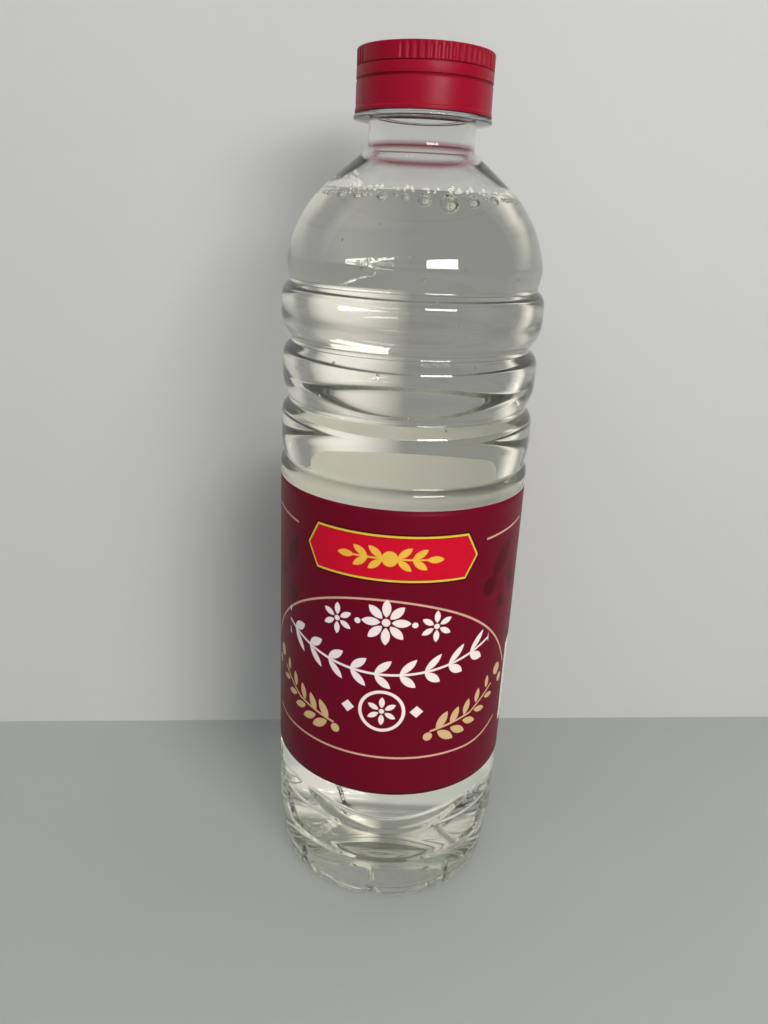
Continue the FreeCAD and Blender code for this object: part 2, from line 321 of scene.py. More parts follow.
class Wire:
    """A node's output, with the arithmetic that Math nodes can do."""

    def __init__(self, socket):
        self.socket = socket

    def math(self, operation, *others):
        values = dict(enumerate((self,) + others))
        return add_node(self.socket.id_data, "ShaderNodeMath", {"operation": operation}, values)

    def __add__(self, other):
        return self.math("ADD", other)

    def __sub__(self, other):
        return self.math("SUBTRACT", other)

    def __mul__(self, other):
        return self.math("MULTIPLY", other)

    def __truediv__(self, other):
        return self.math("DIVIDE", other)

    def __pow__(self, other):
        return self.math("POWER", other)

    def __rsub__(self, other):
        return add_node(self.socket.id_data, "ShaderNodeMath", {"operation": "SUBTRACT"}, {0: other, 1: self})

    __radd__ = __add__
    __rmul__ = __mul__

    def __abs__(self):
        return self.math("ABSOLUTE")

    def least(self, other):
        return self.math("MINIMUM", other)

    def most(self, other):
        return self.math("MAXIMUM", other)

    def clamp(self):
        return self.math("MAXIMUM", 0.0).math("MINIMUM", 1.0)

    def above(self, limit):
        return self.math("GREATER_THAN", limit)

    def wrap(self, low, high):
        return self.math("WRAP", high, low)


# %% Finishes start here
def linear(red, green, blue):
    """A colour given as 0-255 screen values, turned to the light values a shader works with."""
    values = np.array([red, green, blue]) / 255.0
    low, high = values / 12.92, ((values + 0.055) / 1.055) ** 2.4
    return tuple(np.where(values <= 0.04045, low, high)) + (1.0,)


def new_material(name, **sockets):
    """A material with one Principled shader, its fixed values set; returns it, its tree and shader."""
    material = bpy.data.materials.new(name)
    material.use_nodes = True
    tree = material.node_tree
    shader = tree.nodes["Principled BSDF"]
    for key, value in sockets.items():
        shader.inputs[key.replace("_", " ")].default_value = value
    return material, tree, shader


def feed(tree, shader, socket, wire):
    tree.links.new(wire.socket, shader.inputs[socket])


def position(tree):
    """The place of a point on the piece, in metres, as three numbers."""
    place = add_node(tree, "ShaderNodeTexCoord", output=3)
    parts = tree.nodes.new("ShaderNodeSeparateXYZ")
    tree.links.new(place.socket, parts.inputs[0])
    return [Wire(output) for output in parts.outputs]


def noise(tree, scale, detail=2.0, roughness=0.5):
    """Soft random blotches from 0 to 1, fixed to the piece."""
    place = add_node(tree, "ShaderNodeTexCoord", output=3)
    return add_node(tree, "ShaderNodeTexNoise", None,
                    {"Vector": place, "Scale": scale, "Detail": detail, "Roughness": roughness})


def roughen(tree, shader, height, strength, distance):
    """Tips the surface's normal as if it had the height's relief."""
    inputs = {"Height": height, "Strength": strength, "Distance": distance}
    feed(tree, shader, "Normal", add_node(tree, "ShaderNodeBump", None, inputs))


def mix_colour(tree, factor, first, second):
    """first where factor is 0, second where it is 1."""
    node = tree.nodes.new("ShaderNodeMix")
    node.data_type = "RGBA"
    for socket, value in ((node.inputs[0], factor), (node.inputs[6], first), (node.inputs[7], second)):
        if isinstance(value, Wire):
            tree.links.new(value.socket, socket)
        else:
            socket.default_value = value
    return Wire(node.outputs[2])


# %% [markdown]
# ## The clear wall
# The bottle is blown from clear polyester.  Its wall is a real closed shell, outside and inside, so
# light bends twice on its way in.  Two reliefs are pressed into the outer face: notches through the
# standing ring, and rows of long dimples between foot and label, each deepest in its middle.

# %% The pressed dimples and the foot's notches
def smooth(value, low, high):
    """0 below low, 1 above high, and an S-shaped rise between them."""
    t = np.clip((value - low) / (high - low), 0.0, 1.0)
    return t * t * (3.0 - 2.0 * t)


def around(angle, first, count):
    """Angle from the nearest of count evenly spaced directions, in degrees."""
    pitch = 360.0 / count
    return (angle - first + pitch / 2.0) % pitch - pitch / 2.0


def swag(angle, height, first, middle, rise, half_span, half_height, depth):
    """A dimple like a smile: its middle line rises towards the tips as 1 - cos(angle).

    Its half height shrinks the same way, and its rim is one and a half millimetres wide.
    """
    off = around(angle, first, 4)
    share = (1.0 - np.cos(np.radians(off))) / (1.0 - math.cos(math.radians(half_span)))
    inside_by = half_height * (1.0 - share ** 2) - np.abs(height - middle - rise * share)
    return depth * smooth(inside_by, -0.2, 1.3)


def shield(angle, height, first, foot, top, half_foot, half_top, depth):
    """A dimple like a shield: wider at its top than at its foot, its rim a little over a millimetre."""
    across = np.abs(around(angle, first, 4)) * math.radians(1.0) * body_radius
    up = (height - foot) / (top - foot)
    half_width = half_foot + (half_top - half_foot) * np.clip(up, 0.0, 1.0)
    inside_by = np.minimum(half_width - across, np.minimum(height - foot, top - height))
    return depth * smooth(inside_by, 0.0, 1.2)


def wall_relief(angle, radius, height):
    """Depth of everything pressed into the outer face, in millimetres."""
    swags = swag(angle, height, 0.0, 26.9, 5.4, 44.0, 2.6, 0.60)
    shields = shield(angle, height, 45.0, 16.4, 26.4, 4.5, 12.5, 0.50)
    side = (height > crease_height) & (height < panel_foot) & (radius > foot_ring_outer)
    across = np.abs(radius * np.sin(np.radians(around(angle, notch_first_angle, notch_count))))
    half_width = notch_half_width * (1.0 - 0.8 * smooth(height, 2.0, 12.0))
    fade = smooth(radius, foot_ring_inner - 1.5, foot_ring_inner) * (1.0 - smooth(height, 3.0, 13.0))
    notches = notch_depth * fade * (1.0 - smooth(across, half_width - 0.5, half_width + 0.7))
    return np.where(side, np.maximum(swags, shields), 0.0) + np.where(radius < body_radius, notches, 0.0)


# %% Directions that gather at the notches
def gathered_angles(columns, share=0.6):
    """Even directions pulled towards the notches: t - share * sin(n t) / n, with t from a notch."""
    t = np.arange(columns) * 2.0 * math.pi / columns
    return np.degrees(t - share * np.sin(notch_count * t) / notch_count) + notch_first_angle


# %% [markdown]
# The wall's finish is a clear dielectric.  Its bend of light is set below the plastic's own 1.575,
# because a ray here crosses more faces than in a wall that is wet inside, and would lose too much.
# The surface gets a faint unevenness, as blown walls have, and the neck's root a painted reflection of the
# closure's red: the base colour turns dark red in a narrow ring there.

# %% Letting lamps through
def blend_shaders(tree, factor, first, second):
    """The first shader where factor is 0, the second where it is 1, sent to the material's output."""
    blend = tree.nodes.new("ShaderNodeMixShader")
    for wire, socket in ((factor.socket, 0), (first.outputs[0], 1), (second.outputs[0], 2)):
        tree.links.new(wire, blend.inputs[socket])
    tree.links.new(blend.outputs[0], tree.nodes["Material Output"].inputs[0])
    return blend


def pass_lamps(tree, shader, share):
    """Rays towards lamps skip the bending and keep a share of their light at each face they cross."""
    path = add_node(tree, "ShaderNodeLightPath", output="Is Shadow Ray")
    skipped = tree.nodes.new("ShaderNodeBsdfTransparent")
    skipped.inputs["Color"].default_value = (share, share, share * 0.99, 1.0)
    blend_shaders(tree, path, shader, skipped)


# %% The bottle
def clear_wall():
    material, tree, shader = new_material("clear_wall", IOR=1.45, Roughness=0.0, Transmission_Weight=1.0)
    height = position(tree)[2] * 1000.0
    # painted reflection: the closure's red, seen mirrored at the neck's root, is mixed into the base colour
    # as a ring
    painted_reflection_ring = (1.0 - abs(height - neck_root - 0.1) * 0.75).clamp()
    plain, painted_cap_red = (0.985, 0.992, 0.972, 1.0), (0.34, 0.02, 0.06, 1.0)
    feed(tree, shader, "Base Color", mix_colour(tree, 0.9 * painted_reflection_ring, plain, painted_cap_red))
    waver = noise(tree, 55.0, 1.0)
    roughen(tree, shader, waver, 0.10, 0.0015)
    pass_lamps(tree, shader, 0.84)
    return material


wall_angles = gathered_angles(234)
pole_to_pole = np.vstack([outer_face, inner_face[::-1]])
points, faces = turned(pole_to_pole, wall_angles, wall_relief, len(outer_face) - 1)
mesh_piece("bottle_wall", points, faces, clear_wall(), ["bottle"])

# %% [markdown]
# ## The vinegar
# The filling is a solid that reaches a tenth of a millimetre into the wall, so no film of air shows
# between them.  Its top climbs the wall in a small curve, as water does on clean plastic.

# %% The filling
def filling():
    material, tree, shader = new_material("vinegar", IOR=1.34, Roughness=0.0, Transmission_Weight=1.0,
                                          Base_Color=(0.97, 0.975, 0.93, 1.0))
    roughen(tree, shader, noise(tree, 20.0, 0.0), 0.02, 0.001)
    pass_lamps(tree, shader, 0.88)
    return material


def vinegar_outline():
    """The inner face pushed into the wall, then the surface: a climb of exp(-distance / 1.2) mm."""
    side = inside(fill_level, 0.1)
    edge = side[-1, 0]
    radius = edge - np.concatenate([np.linspace(0.15, 4.0, 12), [7.0, 12.0]])
    surface = np.stack([radius, fill_level - 0.9 + 0.9 * np.exp(-(edge - radius) / 1.2)], axis=1)
    return np.vstack([side, surface, [[0.0, fill_level - 0.9]]])


# %% [markdown]
# Shaking leaves a row of bubbles under the edge of the surface, and froth that climbs the wall on one
# side.  A bubble under the surface is a hole in the vinegar: its ball is turned inside out and joined
# to the vinegar's own mesh, so its rim mirrors what is beside it, as a real one does.  Froth above
# the surface is a heap of thin shells.  The unit ball's points are scaled and moved for all at once.

# %% Places for bubbles
def on_wall(angle, height, sizes):
    """Places where balls touch the inner face at an angle and height; a leaning wall pushes them in."""
    radius = np.interp(height, inner_face[:, 1], inner_face[:, 0])
    below = np.interp(height - 0.5, inner_face[:, 1], inner_face[:, 0])
    lean = np.hypot(1.0, 2.0 * (below - radius))
    radius = radius - (sizes + 0.02) * lean
    turn_to = np.radians(angle - 90.0)
    return np.stack([radius * np.cos(turn_to), radius * np.sin(turn_to), height], axis=1)


def balls(places, sizes, inwards):
    """Points = place + size * unit ball, with faces turned inwards for a hole."""
    ball, ball_faces = turned(arc((0.0, 0.0), -90.0, 90.0, 1.0, 9), even_angles(14))
    points = (places[:, None, :] + sizes[:, None, None] * ball[None, :, :]).reshape(-1, 3)
    order = -1 if inwards else 1
    faces = [[corner + step * len(ball) for corner in face[::order]]
             for step in range(len(sizes)) for face in ball_faces]
    return points, faces


def joined(*meshes):
    """Several (points, faces) as one."""
    points, faces, count = [], [], 0
    for some_points, some_faces in meshes:
        points.append(some_points)
        faces += [[corner + count for corner in face] for face in some_faces]
        count += len(some_points)
    return np.vstack(points), faces


rng = np.random.default_rng(11)
edge_radius = np.interp(fill_level, inner_face[:, 1], inner_face[:, 0]) - 0.6
large_angles = np.array([-21.0, 2.0, 15.5, 29.5, 44.0])
large_sizes = np.array([1.1, 1.5, 2.1, 1.5, 1.1])
row_sizes = 0.50 + 0.55 * rng.random(150) ** 1.6
row_angles = np.degrees(np.cumsum(2.12 * row_sizes) / edge_radius) - 70.0
gap = np.degrees((row_sizes[:, None] + large_sizes) * 1.15 / edge_radius)
free = (np.abs(row_angles[:, None] - large_angles) > gap).all(axis=1) & (row_angles < 288.0)
cling_count = 16
cling_angles = rng.uniform(-80.0, 80.0, cling_count)
cling_heights = rng.uniform(130.0, 174.0, cling_count)
hole_sizes = np.concatenate([row_sizes[free], large_sizes, rng.uniform(0.2, 0.42, cling_count)])
hole_angles = np.concatenate([row_angles[free], large_angles, cling_angles])
row_heights, large_heights = fill_level - 0.85 - 0.9 * row_sizes[free], fill_level - 0.7 - large_sizes
hole_heights = np.concatenate([row_heights, large_heights, cling_heights])
holes = balls(on_wall(hole_angles, hole_heights, hole_sizes), hole_sizes, True)

points, faces = joined(turned(vinegar_outline(), wall_angles), holes)
mesh_piece("vinegar_body", points, faces, filling(), ["vinegar"])
print("bubbles under the surface:", len(hole_sizes))

# %% Froth above the surface
def froth_film():
    material, tree, shader = new_material("froth_film", IOR=1.33, Roughness=0.03, Transmission_Weight=0.62,
                                          Base_Color=(0.93, 0.93, 0.90, 1.0))
    roughen(tree, shader, noise(tree, 900.0, 0.0), 0.02, 0.0002)
    pass_lamps(tree, shader, 0.97)
    return material


heap_count, drop_count, heap_middle, heap_spread = 220, 260, -68.0, 17.0
heap_angles = rng.uniform(-98.0, -40.0, heap_count)
heap_sizes = 0.25 + 0.6 * rng.random(heap_count) ** 2
heap_rise = rng.uniform(-0.6, 3.6, heap_count) * np.exp(-((heap_angles - heap_middle) / heap_spread) ** 2)
drop_angles, drop_sizes = rng.uniform(-180.0, 180.0, drop_count), rng.uniform(0.2, 0.55, drop_count)
froth_angles, froth_sizes = np.append(heap_angles, drop_angles), np.append(heap_sizes, drop_sizes)
froth_rise = np.append(heap_rise, rng.uniform(-0.9, 0.1, drop_count))
froth_heights = fill_level + froth_sizes + froth_rise
froth_places = on_wall(froth_angles, froth_heights, froth_sizes)
points, faces = joined(balls(froth_places, froth_sizes, False), balls(froth_places, 0.93 * froth_sizes, True))
mesh_piece("froth", points, faces, froth_film())
print("froth balls:", len(froth_sizes))

# %% [markdown]
# ## The closure
# Two red rings in a tough, slightly waxy plastic.  The lower one stays on the neck when the lid is
# opened.  The lid's ribs are flutes: the outline's radius dips once in each pitch, and stays plain
# over one stretch where the thumb pushes.

# %% The red plastic
def closure_plastic():
    material, tree, shader = new_material("closure", IOR=1.28, Subsurface_Weight=0.08,
                                          Subsurface_Radius=(0.003, 0.0004, 0.0004))
    cloud = noise(tree, 90.0, 3.0)
    feed(tree, shader, "Base Color", mix_colour(tree, cloud, linear(138, 6, 34), linear(150, 9, 40)))
    feed(tree, shader, "Roughness", 0.30 + 0.14 * noise(tree, 400.0, 2.0))
    grain = noise(tree, 2600.0, 2.0)
    roughen(tree, shader, grain, 0.12, 0.0001)
    return material


def ring_of(outline, angles, relief=None):
    """A turned ring whose outline closes on itself; the relief lowers the radius."""
    radius, height = outline[:, 0][:, None], outline[:, 1][:, None]
    depth = 0.0 if relief is None else relief(angles[None, :], radius, height)
    turn_to = np.radians(angles - 90.0)[None, :]
    near = radius - depth
    grid = np.stack(np.broadcast_arrays(near * np.cos(turn_to), near * np.sin(turn_to), height), axis=-1)
    return grid.reshape(-1, 3), grid_faces(len(outline), len(angles), True).tolist()


red = closure_plastic()
bead_height, bead_proud, groove_half, groove_depth = 0.7, 0.15, 0.3, 0.45
bore = finish_radius + 0.2
band_corners = [(bore, parting_height), (bore, closure_foot), (closure_radius + bead_proud, closure_foot),
                (closure_radius + bead_proud, closure_foot + bead_height),
                (closure_radius, closure_foot + bead_height + bead_proud),
                (closure_radius, parting_height - groove_half),
                (closure_radius - groove_depth, parting_height - groove_half),
                (closure_radius - groove_depth, parting_height)]
points, faces = ring_of(rounded(band_corners, 0.15, 5), even_angles(240))
mesh_piece("closure_lower_band", points, faces, red, ["closure_band"])

# %% The ribbed lid
rib_count, rib_depth, rib_height, top_round = 60, 0.28, 2.9, 0.6
plain_centre, plain_half = -44.0, 19.0
ribs_foot, ribs_top = lid_top - top_round - rib_height, lid_top - top_round


def rib_relief(angle, radius, height):
    """Flutes in the ribbed ring: a cosine dip in each pitch, squared off a little, and none where plain."""
    ripple = 0.5 - 0.5 * np.cos(np.radians(angle * rib_count))
    away = np.abs((angle - plain_centre + 180.0) % 360.0 - 180.0)
    ribbed = smooth(away, plain_half - 0.6, plain_half + 0.6)
    rise, fall = smooth(height, ribs_foot, ribs_foot + 0.25), smooth(height, ribs_top - 0.1, lid_top - 0.15)
    outer = smooth(radius, closure_radius - 1.2, closure_radius - 0.9)
    return rib_depth * smooth(ripple, 0.25, 0.9) * ribbed * rise * (1.0 - fall) * outer


slit_foot, slit_radius = ribs_foot - 0.25, closure_radius - 0.3
groove_radius, groove_top = closure_radius - groove_depth, parting_height + groove_half
lid_corners = [(0.0, mouth_height), (bore, mouth_height), (bore, parting_height),
               (groove_radius, parting_height), (groove_radius, groove_top), (closure_radius, groove_top),
               (closure_radius, slit_foot), (slit_radius, slit_foot), (slit_radius, ribs_foot),
               (closure_radius, ribs_foot)]
edge_corners = [(closure_radius, ribs_top - 0.4), (closure_radius, lid_top), (closure_radius - 1.4, lid_top)]
ribs_side = straight((closure_radius, ribs_foot + 0.2), (closure_radius, ribs_top - 0.5), 8)
top_face = [(6.0, lid_top - 0.05), (0.0, lid_top - 0.06)]
lid_outline = join(rounded(lid_corners, 0.1, 4), ribs_side, rounded(edge_corners, 0.9, 9), top_face)
points, faces = turned(lid_outline, even_angles(720), rib_relief)
mesh_piece("closure_ribbed_lid", points, faces, red, ["closure_lid"])


# %% [markdown]
# ## The label
# A film wrapped round the panel, its ends meeting at the back.  The shader works out the print.
# The piece has its own map: the first number runs once round from the back seam, the second from the
# foot to the top.  Turned into millimetres from the front's middle, each printed shape is a distance
# that is negative inside it, and ink is laid where the distance is below zero.

# %% The label's sheet
label_height = label_top - label_foot
label_girth = 2.0 * math.pi * label_radius


def label_sheet(columns=240, rows=48, thickness=0.15):
    """A closed sleeve; faces of its outer side come first, so that each side can have its own finish."""
    height = np.linspace(label_foot, label_top, rows)
    outer = np.stack([np.full(rows, label_radius), height], axis=1)
    inner = np.stack([np.full(2, label_radius - thickness + 0.01), height[[-1, 0]]], axis=1)
    points, faces = ring_of(np.vstack([outer, inner]), even_angles(columns) + 180.0)
    piece = mesh_piece("label_film", points, faces, label_print(), ["label"])
    piece.data.materials.append(label_back())
    loops = np.empty(len(piece.data.loops), dtype=np.int32)
    piece.data.loops.foreach_get("vertex_index", loops)
    column, row = loops % columns, loops // columns
    wrapped = np.arange(len(loops)) // 4 % columns == columns - 1
    column = np.where(wrapped & (column == 0), columns, column)
    up = np.clip(np.where(row < rows, row, 2 * rows - 1 - row), 0, rows - 1) / (rows - 1.0)
    layer = piece.data.uv_layers.new(name="print")
    layer.data.foreach_set("uv", np.stack([column / columns, up], axis=1).astype(np.float32).ravel())
    side = np.arange(len(piece.data.polygons)) // columns
    piece.data.polygons.foreach_set("material_index", (side >= rows - 1).astype(np.int32))


# %% Shapes as distances
class Shapes:
    """Distances to flat shapes, in millimetres, at the point with across s and height z."""

    def __init__(self, tree):
        place = tree.nodes.new("ShaderNodeSeparateXYZ")
        tree.links.new(add_node(tree, "ShaderNodeUVMap", {"uv_map": "print"}).socket, place.inputs[0])
        self.s = (Wire(place.outputs[0]) - 0.5) * label_girth
        self.z = Wire(place.outputs[1]) * label_height + label_foot

    def redrawn(self, s, z):
        """The same shapes in other coordinates, such as ones that repeat or follow a curve."""
        other = copy.copy(self)
        other.s, other.z = s, z
        return other

    def disc(self, s, z, radius):
        """Distance to a middle, less the radius."""
        across, up = self.s - s, self.z - z
        return (across * across + up * up) ** 0.5 - radius

    def ring(self, s, z, radius, half_width):
        return abs(self.disc(s, z, radius)) - half_width

    def stroke(self, start, end, half_width):
        """Distance to a line between two places: the point is carried along it by a clamped share."""
        run, rise = end[0] - start[0], end[1] - start[1]
        across, up = self.s - start[0], self.z - start[1]
        share = ((across * run + up * rise) / (run * run + rise * rise)).clamp()
        off_across, off_up = across - share * run, up - share * rise
        return (off_across * off_across + off_up * off_up) ** 0.5 - half_width

    def leaf(self, s, z, length, width, tilt):
        """Where two equal discs overlap, so that the tips are sharp."""
        radius = (length ** 2 + width ** 2) / (4.0 * width)
        off = radius - width / 2.0
        aside = off * math.cos(math.radians(tilt + 90.0))
        above = off * math.sin(math.radians(tilt + 90.0))
        one, other = self.disc(s + aside, z + above, radius), self.disc(s - aside, z - above, radius)
        return one.most(other)

    def panel(self, s, z, half_across, half_up, corner):
        """A rectangle with round corners."""
        across = (abs(self.s - s) - (half_across - corner)).most(0.0)
        up = (abs(self.z - z) - (half_up - corner)).most(0.0)
        return (across * across + up * up) ** 0.5 - corner

    def bar(self, s, z, half_across, half_up):
        return (abs(self.s - s) - half_across).most(abs(self.z - z) - half_up)


def any_of(shapes):
    """The union of shapes: the least of their distances."""
    result = shapes[0]
    for shape in shapes[1:]:
        result = result.least(shape)
    return result


def ink(distance, softness=0.12):
    """1 inside a shape and 0 outside, with an edge as soft as print."""
    return (0.5 - distance / softness).clamp()


# %% [markdown]
# The print is this lesson's own: a red plate with a gold sprig, three flowers, a garland of leaves, a
# medallion, two branches with berries, thin frame lines, dim leaves near the sides, a pale panel with
# ruled lines at one side, and a star of leaves at the back.

# %% The printed design
badge_s, badge_z = -2.5, 101.8
middle = -2.6
garland_middle = -3.0
both_sides = (-1, 1)


def badge(shapes):
    """A long six-sided plate: the ends are cut on a slant by a share of the height."""
    across, up = abs(shapes.s - badge_s), abs(shapes.z - badge_z)
    return (across + up * 0.55 - 21.0).most(up - 5.0)


def badge_sprig(shapes):
    """Two pairs of leaves and an end leaf on each side of a disc, along a stem."""
    spots = ((0, 1.5, 38), (0, -1.5, -38), (1, 1.3, 34), (1, -1.3, -34), (2, 0.0, 0))
    leaves = [shapes.leaf(badge_s + side * (3.4 + 3.6 * place), badge_z + lift, 4.2, 1.7, side * turn_by)
              for side in both_sides for place, lift, turn_by in spots]
    stem = shapes.stroke((badge_s - 9.5, badge_z), (badge_s + 9.5, badge_z), 0.22)
    return any_of([shapes.disc(badge_s, badge_z, 1.9), stem] + leaves)


def rosette(shapes, s, z, size, petals=8):
    """Leaves set evenly round a disc."""
    turns = np.arange(petals) * 2.0 * math.pi / petals + math.pi / 2.0
    out, length, width = 0.62 * size, 0.78 * size, 0.36 * size
    blades = [shapes.leaf(s + out * math.cos(t), z + out * math.sin(t), length, width, math.degrees(t))
              for t in turns]
    return any_of(blades + [shapes.disc(s, z, 0.17 * size)])


def flowers(shapes):
    """A large flower between two small ones, with dots between them."""
    small = [rosette(shapes, middle + side * 12.2, 84.6, 4.1, 6) for side in both_sides]
    dots = [shapes.disc(middle + side * 6.9, 85.2, 0.75) for side in both_sides]
    return any_of([rosette(shapes, middle, 85.6, 5.9)] + small + dots)


def garland(shapes):
    """Leaves in pairs along a line that smiles: their pattern repeats every pitch across."""
    pitch = 6.1
    across = shapes.s - garland_middle
    local = shapes.redrawn(across.wrap(-pitch / 2.0, pitch / 2.0), shapes.z - 71.6 - 0.0075 * across * across)
    pair = local.leaf(0.2, 2.0, 5.4, 2.0, 42.0).least(local.leaf(0.2, -2.0, 5.4, 2.0, -42.0))
    body = any_of([pair, abs(local.z) - 0.32])
    return body.most(abs(across) - 29.0)


def medallion(shapes):
    """A flower in a ring, and a lozenge |s| + |z| on each side of it."""
    height = 61.4
    lozenges = [abs(shapes.s - middle - 8.6 * side) + abs(shapes.z - height) - 1.7 for side in both_sides]
    flower = rosette(shapes, middle, height, 3.9, 6)
    return any_of([shapes.ring(middle, height, 5.4, 0.42), flower] + lozenges)


def branch(shapes, side):
    """A branch that bends out and up: leaves in pairs, smaller towards its tip."""
    leaves = []
    for step in range(5):
        s, z = middle + side * (15.5 + 3.6 * step), 55.6 + 0.62 * step ** 1.7
        size, lean = 5.6 - 0.5 * step, 12.0 + 7.0 * step
        leaves += [shapes.leaf(s, z + 2.3, size, 0.42 * size, side * (lean + 48.0)),
                   shapes.leaf(s + side * 1.2, z - 2.1, size, 0.42 * size, side * (lean - 46.0))]
    root, bend, tip = [(middle + side * s, z) for s, z in ((12.6, 55.4), (24.0, 57.8), (32.0, 63.0))]
    return any_of(leaves + [shapes.stroke(root, bend, 0.28), shapes.stroke(bend, tip, 0.24)])


def fruit(shapes):
    """Both branches, with three berries each."""
    spots = ((34.6, 66.2, 1.7), (11.9, 53.9, 1.2), (37.0, 62.6, 1.3))
    berries = [shapes.disc(middle + side * s, z, size) for side in both_sides for s, z, size in spots]
    return any_of([branch(shapes, -1), branch(shapes, 1)] + berries)


def frame_lines(shapes):
    """An arch of one circle over the front, a line that lifts at its ends, and two short bars."""
    arch = shapes.ring(-3.6, 47.0, 44.3, 0.26).most(66.5 - shapes.z)
    lift = (abs(shapes.s + 6.0) - 26.0).most(0.0)
    foot = (abs(shapes.z - 48.0 - 0.021 * lift * lift) - 0.28).most(abs(shapes.s + 3.0) - 36.0)
    left = shapes.stroke((-41.0, 106.1), (-28.5, 105.2), 0.25)
    right = shapes.stroke((22.0, 105.0), (38.0, 106.3), 0.25)
    return any_of([arch, foot, left, right])


def shadows(shapes):
    """Darker leaves and fruit behind the design, near its sides."""
    leaves = ((-31.0, 96.5, 11.0, 4.2, 62.0), (-36.0, 90.0, 10.0, 4.0, 118.0),
              (29.0, 98.5, 12.0, 4.6, 55.0), (35.0, 91.0, 10.0, 4.0, 120.0))
    discs = ((-31.0, 85.5, 2.6), (24.5, 92.0, 2.4), (30.0, 86.5, 2.0))
    return any_of([shapes.leaf(*leaf) for leaf in leaves] + [shapes.disc(*disc) for disc in discs])


panel_s, panel_z = 57.0, 59.0
motif_s, motif_z = -66.0, 74.0


def side_panel(shapes):
    return shapes.panel(panel_s, panel_z, 19.0, 12.5, 1.5)


def side_rules(shapes):
    """Ruled lines on the pale panel, evenly spaced, and one upright."""
    rows = abs((shapes.z - 49.5).wrap(-1.5, 1.5)) - 0.14
    rules = rows.most(shapes.bar(panel_s, panel_z, 16.5, 10.4))
    return rules.least(shapes.bar(64.0, panel_z, 0.14, 10.4))


def back_motif(shapes):
    """Six leaves round a disc, between two bars."""
    big = [shapes.leaf(motif_s + 7.0 * math.cos(angle), motif_z + 7.0 * math.sin(angle), 12.0, 4.6,
                       math.degrees(angle)) for angle in np.radians([30, 90, 150, 210, 270, 330])]
    bars = [shapes.panel(motif_s, motif_z + side * 26.0, 14.0, 0.25, 0.2) for side in both_sides]
    return any_of(big + [shapes.disc(motif_s, motif_z, 2.0)] + bars)


def label_print():
    material, tree, shader = new_material("label_print", IOR=1.18)
    shapes = Shapes(tree)
    cloud = noise(tree, 30.0, 3.0)
    colour = mix_colour(tree, cloud, linear(96, 4, 28), linear(106, 7, 33))
    cream, off_white, tan = linear(212, 170, 150), linear(236, 222, 220), linear(205, 172, 128)
    red_ink, gold, dark = linear(196, 12, 42), linear(226, 178, 66), linear(44, 8, 14)
    dim, paper, rule_ink = linear(70, 6, 20), linear(226, 220, 214), linear(120, 40, 50)
    plate = badge(shapes)
    layers = [(shadows(shapes), dim, 0.8), (frame_lines(shapes), cream, 0.9), (fruit(shapes), tan, 1.0),
              (flowers(shapes), off_white, 1.0), (garland(shapes), off_white, 1.0),
              (medallion(shapes), off_white, 1.0), (plate - 1.1, dark, 1.0), (plate - 0.7, gold, 1.0),
              (plate - 0.15, dark, 1.0), (plate, red_ink, 1.0), (badge_sprig(shapes), gold, 1.0),
              (side_panel(shapes), paper, 1.0), (side_rules(shapes), rule_ink, 0.9),
              (back_motif(shapes), tan, 1.0)]
    for distance, tint, strength in layers:
        colour = mix_colour(tree, ink(distance) * strength, colour, tint)
    feed(tree, shader, "Base Color", colour)
    feed(tree, shader, "Roughness", 0.34 + 0.10 * noise(tree, 300.0, 2.0))
    wrinkles = noise(tree, 120.0, 2.0)
    roughen(tree, shader, wrinkles, 0.10, 0.0004)
    return material


def label_back():
    material, tree, shader = new_material("label_back", Roughness=0.6)
    fibres = noise(tree, 200.0, 2.0)
    whites = linear(228, 226, 222), linear(238, 236, 232)
    feed(tree, shader, "Base Color", mix_colour(tree, fibres, *whites))
    return material


label_sheet()


# %% [markdown]
# ## Light, floor and camera
# A pale floor meets a pale wall a little way behind the bottle.  A small lamp to the right of the
# camera stands in for a window, so each waist carries a short bright dash.  Two broad lamps, which
# nothing mirrors, and a pale sky light the rest.

# %% What the clear parts show of the room
def room_material(name, first, second, scale, seen_through):
    """Paint, and for rays that come through glass a glow: light that the bottle has gathered behind it."""
    material, tree, shader = new_material(name, Roughness=0.6)
    feed(tree, shader, "Base Color", mix_colour(tree, noise(tree, scale, 4.0), first, second))
    glow = tree.nodes.new("ShaderNodeEmission")
    tree.links.new(seen_through(tree).socket, glow.inputs["Color"])
    passed = add_node(tree, "ShaderNodeLightPath", output="Transmission Depth").above(0.5)
    return material, tree, blend_shaders(tree, passed, shader, glow)


def ramp_up(value, low, high):
    """0 below low, 1 above high, straight between; low may be the larger."""
    return ((value - low) * (1.0 / (high - low))).clamp()


def axes(tree):
    """The place on a piece in millimetres."""
    return [part * 1000.0 for part in position(tree)]


def wall_glow(tree):
    """Plain wall above the filling; below it dimmer, with light gathered in two upright strips.

    The filled bottle is a lens: nearly its whole width shows the strip within 4 mm of the axis, and its
    edges show what lies far to the other side.  The strips fade out behind the shoulder.
    """
    x, _, z = axes(tree)
    gathered = (ramp_up(x, 1.0, -2.6) * ramp_up(x, -8.0, -4.2)).most(0.55 * ramp_up(x, 5.0, 11.0))
    low_part = gathered * ramp_up(z, 162.0, 148.0)
    lower = mix_colour(tree, low_part, (0.27, 0.27, 0.26, 1.0), (1.00, 0.94, 0.88, 1.0))
    return mix_colour(tree, ramp_up(z, 166.0, 184.0), lower, (0.50, 0.495, 0.49, 1.0))


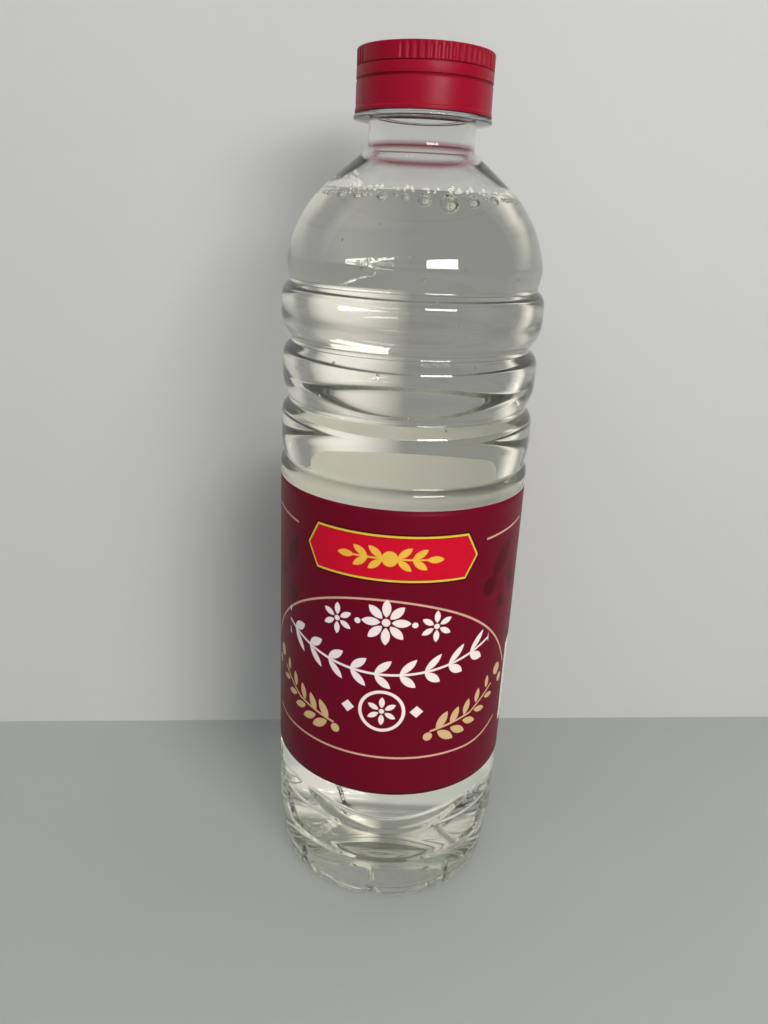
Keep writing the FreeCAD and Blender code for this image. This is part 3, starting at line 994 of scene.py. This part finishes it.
def floor_glow(tree):
    """Plain floor, lighter to the left, and much lighter behind the bottle, outside its own foot."""
    x, y, _ = axes(tree)
    plain = mix_colour(tree, ramp_up(x, 14.0, -22.0), (0.25, 0.252, 0.238, 1.0), (0.33, 0.327, 0.31, 1.0))
    strip = mix_colour(tree, ramp_up(x, 0.2, -2.2), (0.58, 0.57, 0.55, 1.0), (0.80, 0.76, 0.71, 1.0))
    out = (x * x + y * y) ** 0.5
    return mix_colour(tree, ramp_up(out, 29.0, 32.0) * ramp_up(y, 2.0, 14.0), plain, strip)


# %% Floor and wall
def flat_piece(name, corners, material):
    mesh = bpy.data.meshes.new(name)
    mesh.from_pydata(corners, [], [(0, 1, 2, 3)])
    mesh.materials.append(material)
    placed(name, mesh)


floor_greys = linear(168, 171, 168), linear(176, 179, 176)
wall_greys = linear(188, 189, 188), linear(196, 197, 196)
floor_look, _, _ = room_material("floor", *floor_greys, 6.0, floor_glow)
wall_look, wall_tree, wall_front = room_material("wall", *wall_greys, 5.0, wall_glow)
# the wall is seen from the front only, so that other views can look through it from behind
clear = wall_tree.nodes.new("ShaderNodeBsdfTransparent")
behind = add_node(wall_tree, "ShaderNodeNewGeometry", output=6)
blend_shaders(wall_tree, behind, wall_front, clear)

reach, wall_behind, wall_slant = 1.6, 0.056, 0.095
near, far = wall_behind - reach * wall_slant, wall_behind + reach * wall_slant
floor_corners = [(-reach, -reach, 0), (reach, -reach, 0), (reach, reach, 0), (-reach, reach, 0)]
flat_piece("floor", floor_corners, floor_look)
wall_corners = [(-reach, near, 0), (reach, far, 0), (reach, far, reach), (-reach, near, reach)]
flat_piece("wall", wall_corners, wall_look)

# %% Lamps
def lamp(name, place, target, width, height, power, colour=(1.0, 1.0, 1.0)):
    light = bpy.data.lights.new(name, "AREA")
    light.shape, light.size, light.size_y = "RECTANGLE", width, height
    light.energy, light.color = power, colour
    thing = placed(name, light)
    thing.location = place
    thing.rotation_euler = (Vector(target) - Vector(place)).to_track_quat("-Z", "Y").to_euler()
    return thing


lamp("window", (0.34, -0.80, 0.42), (0.0, 0.0, 0.12), 0.42, 0.18, 2.9, (1.0, 0.98, 0.95))
soft = [lamp("key", (0.52, -0.85, 0.72), (0.0, 0.0, 0.10), 0.5, 0.5, 6.6, (1.0, 0.955, 0.90)),
        lamp("fill", (-0.50, -0.70, 1.00), (0.0, 0.0, 0.05), 0.9, 0.9, 3.0, (0.93, 0.97, 1.0))]
for thing in soft:
    thing.visible_glossy = False
    thing.visible_transmission = False

cycles = bpy.context.scene.cycles
cycles.max_bounces, cycles.transmission_bounces, cycles.glossy_bounces = 28, 28, 12

world = bpy.data.worlds.new("sky")
bpy.context.scene.world = world
world.use_nodes = True
sky = world.node_tree
path = sky.nodes.new("ShaderNodeLightPath")
through, mirrored = Wire(path.outputs["Transmission Depth"]).above(0.5), Wire(path.outputs["Is Glossy Ray"])
sky.nodes["Background"].inputs["Color"].default_value = (0.92, 0.96, 1.0, 1.0)
sky.links.new((0.34 + 0.25 * through - 0.22 * mirrored).socket, sky.nodes["Background"].inputs["Strength"])

# %% Camera
def camera(place, pitch, roll, lens):
    """Looks along +Y, tipped down by the pitch and turned about its own line of sight by the roll."""
    sin_p, cos_p = math.sin(math.radians(pitch)), math.cos(math.radians(pitch))
    sin_r, cos_r = math.sin(math.radians(roll)), math.cos(math.radians(roll))
    right = (cos_r, sin_r * sin_p, sin_r * cos_p)
    up = (-sin_r, cos_r * sin_p, cos_r * cos_p)
    back = (0.0, -cos_p, sin_p)
    data = bpy.data.cameras.new("camera")
    data.lens, data.sensor_width, data.clip_start = lens, 36.0, 0.01
    thing = placed("camera", data)
    rotation = Matrix((right, up, back)).transposed().to_4x4()
    thing.matrix_world = Matrix.Translation(place) @ rotation
    bpy.context.scene.camera = thing


camera((-0.00435, -0.20098, 0.1751), 20.04, 2.81, 28.65)
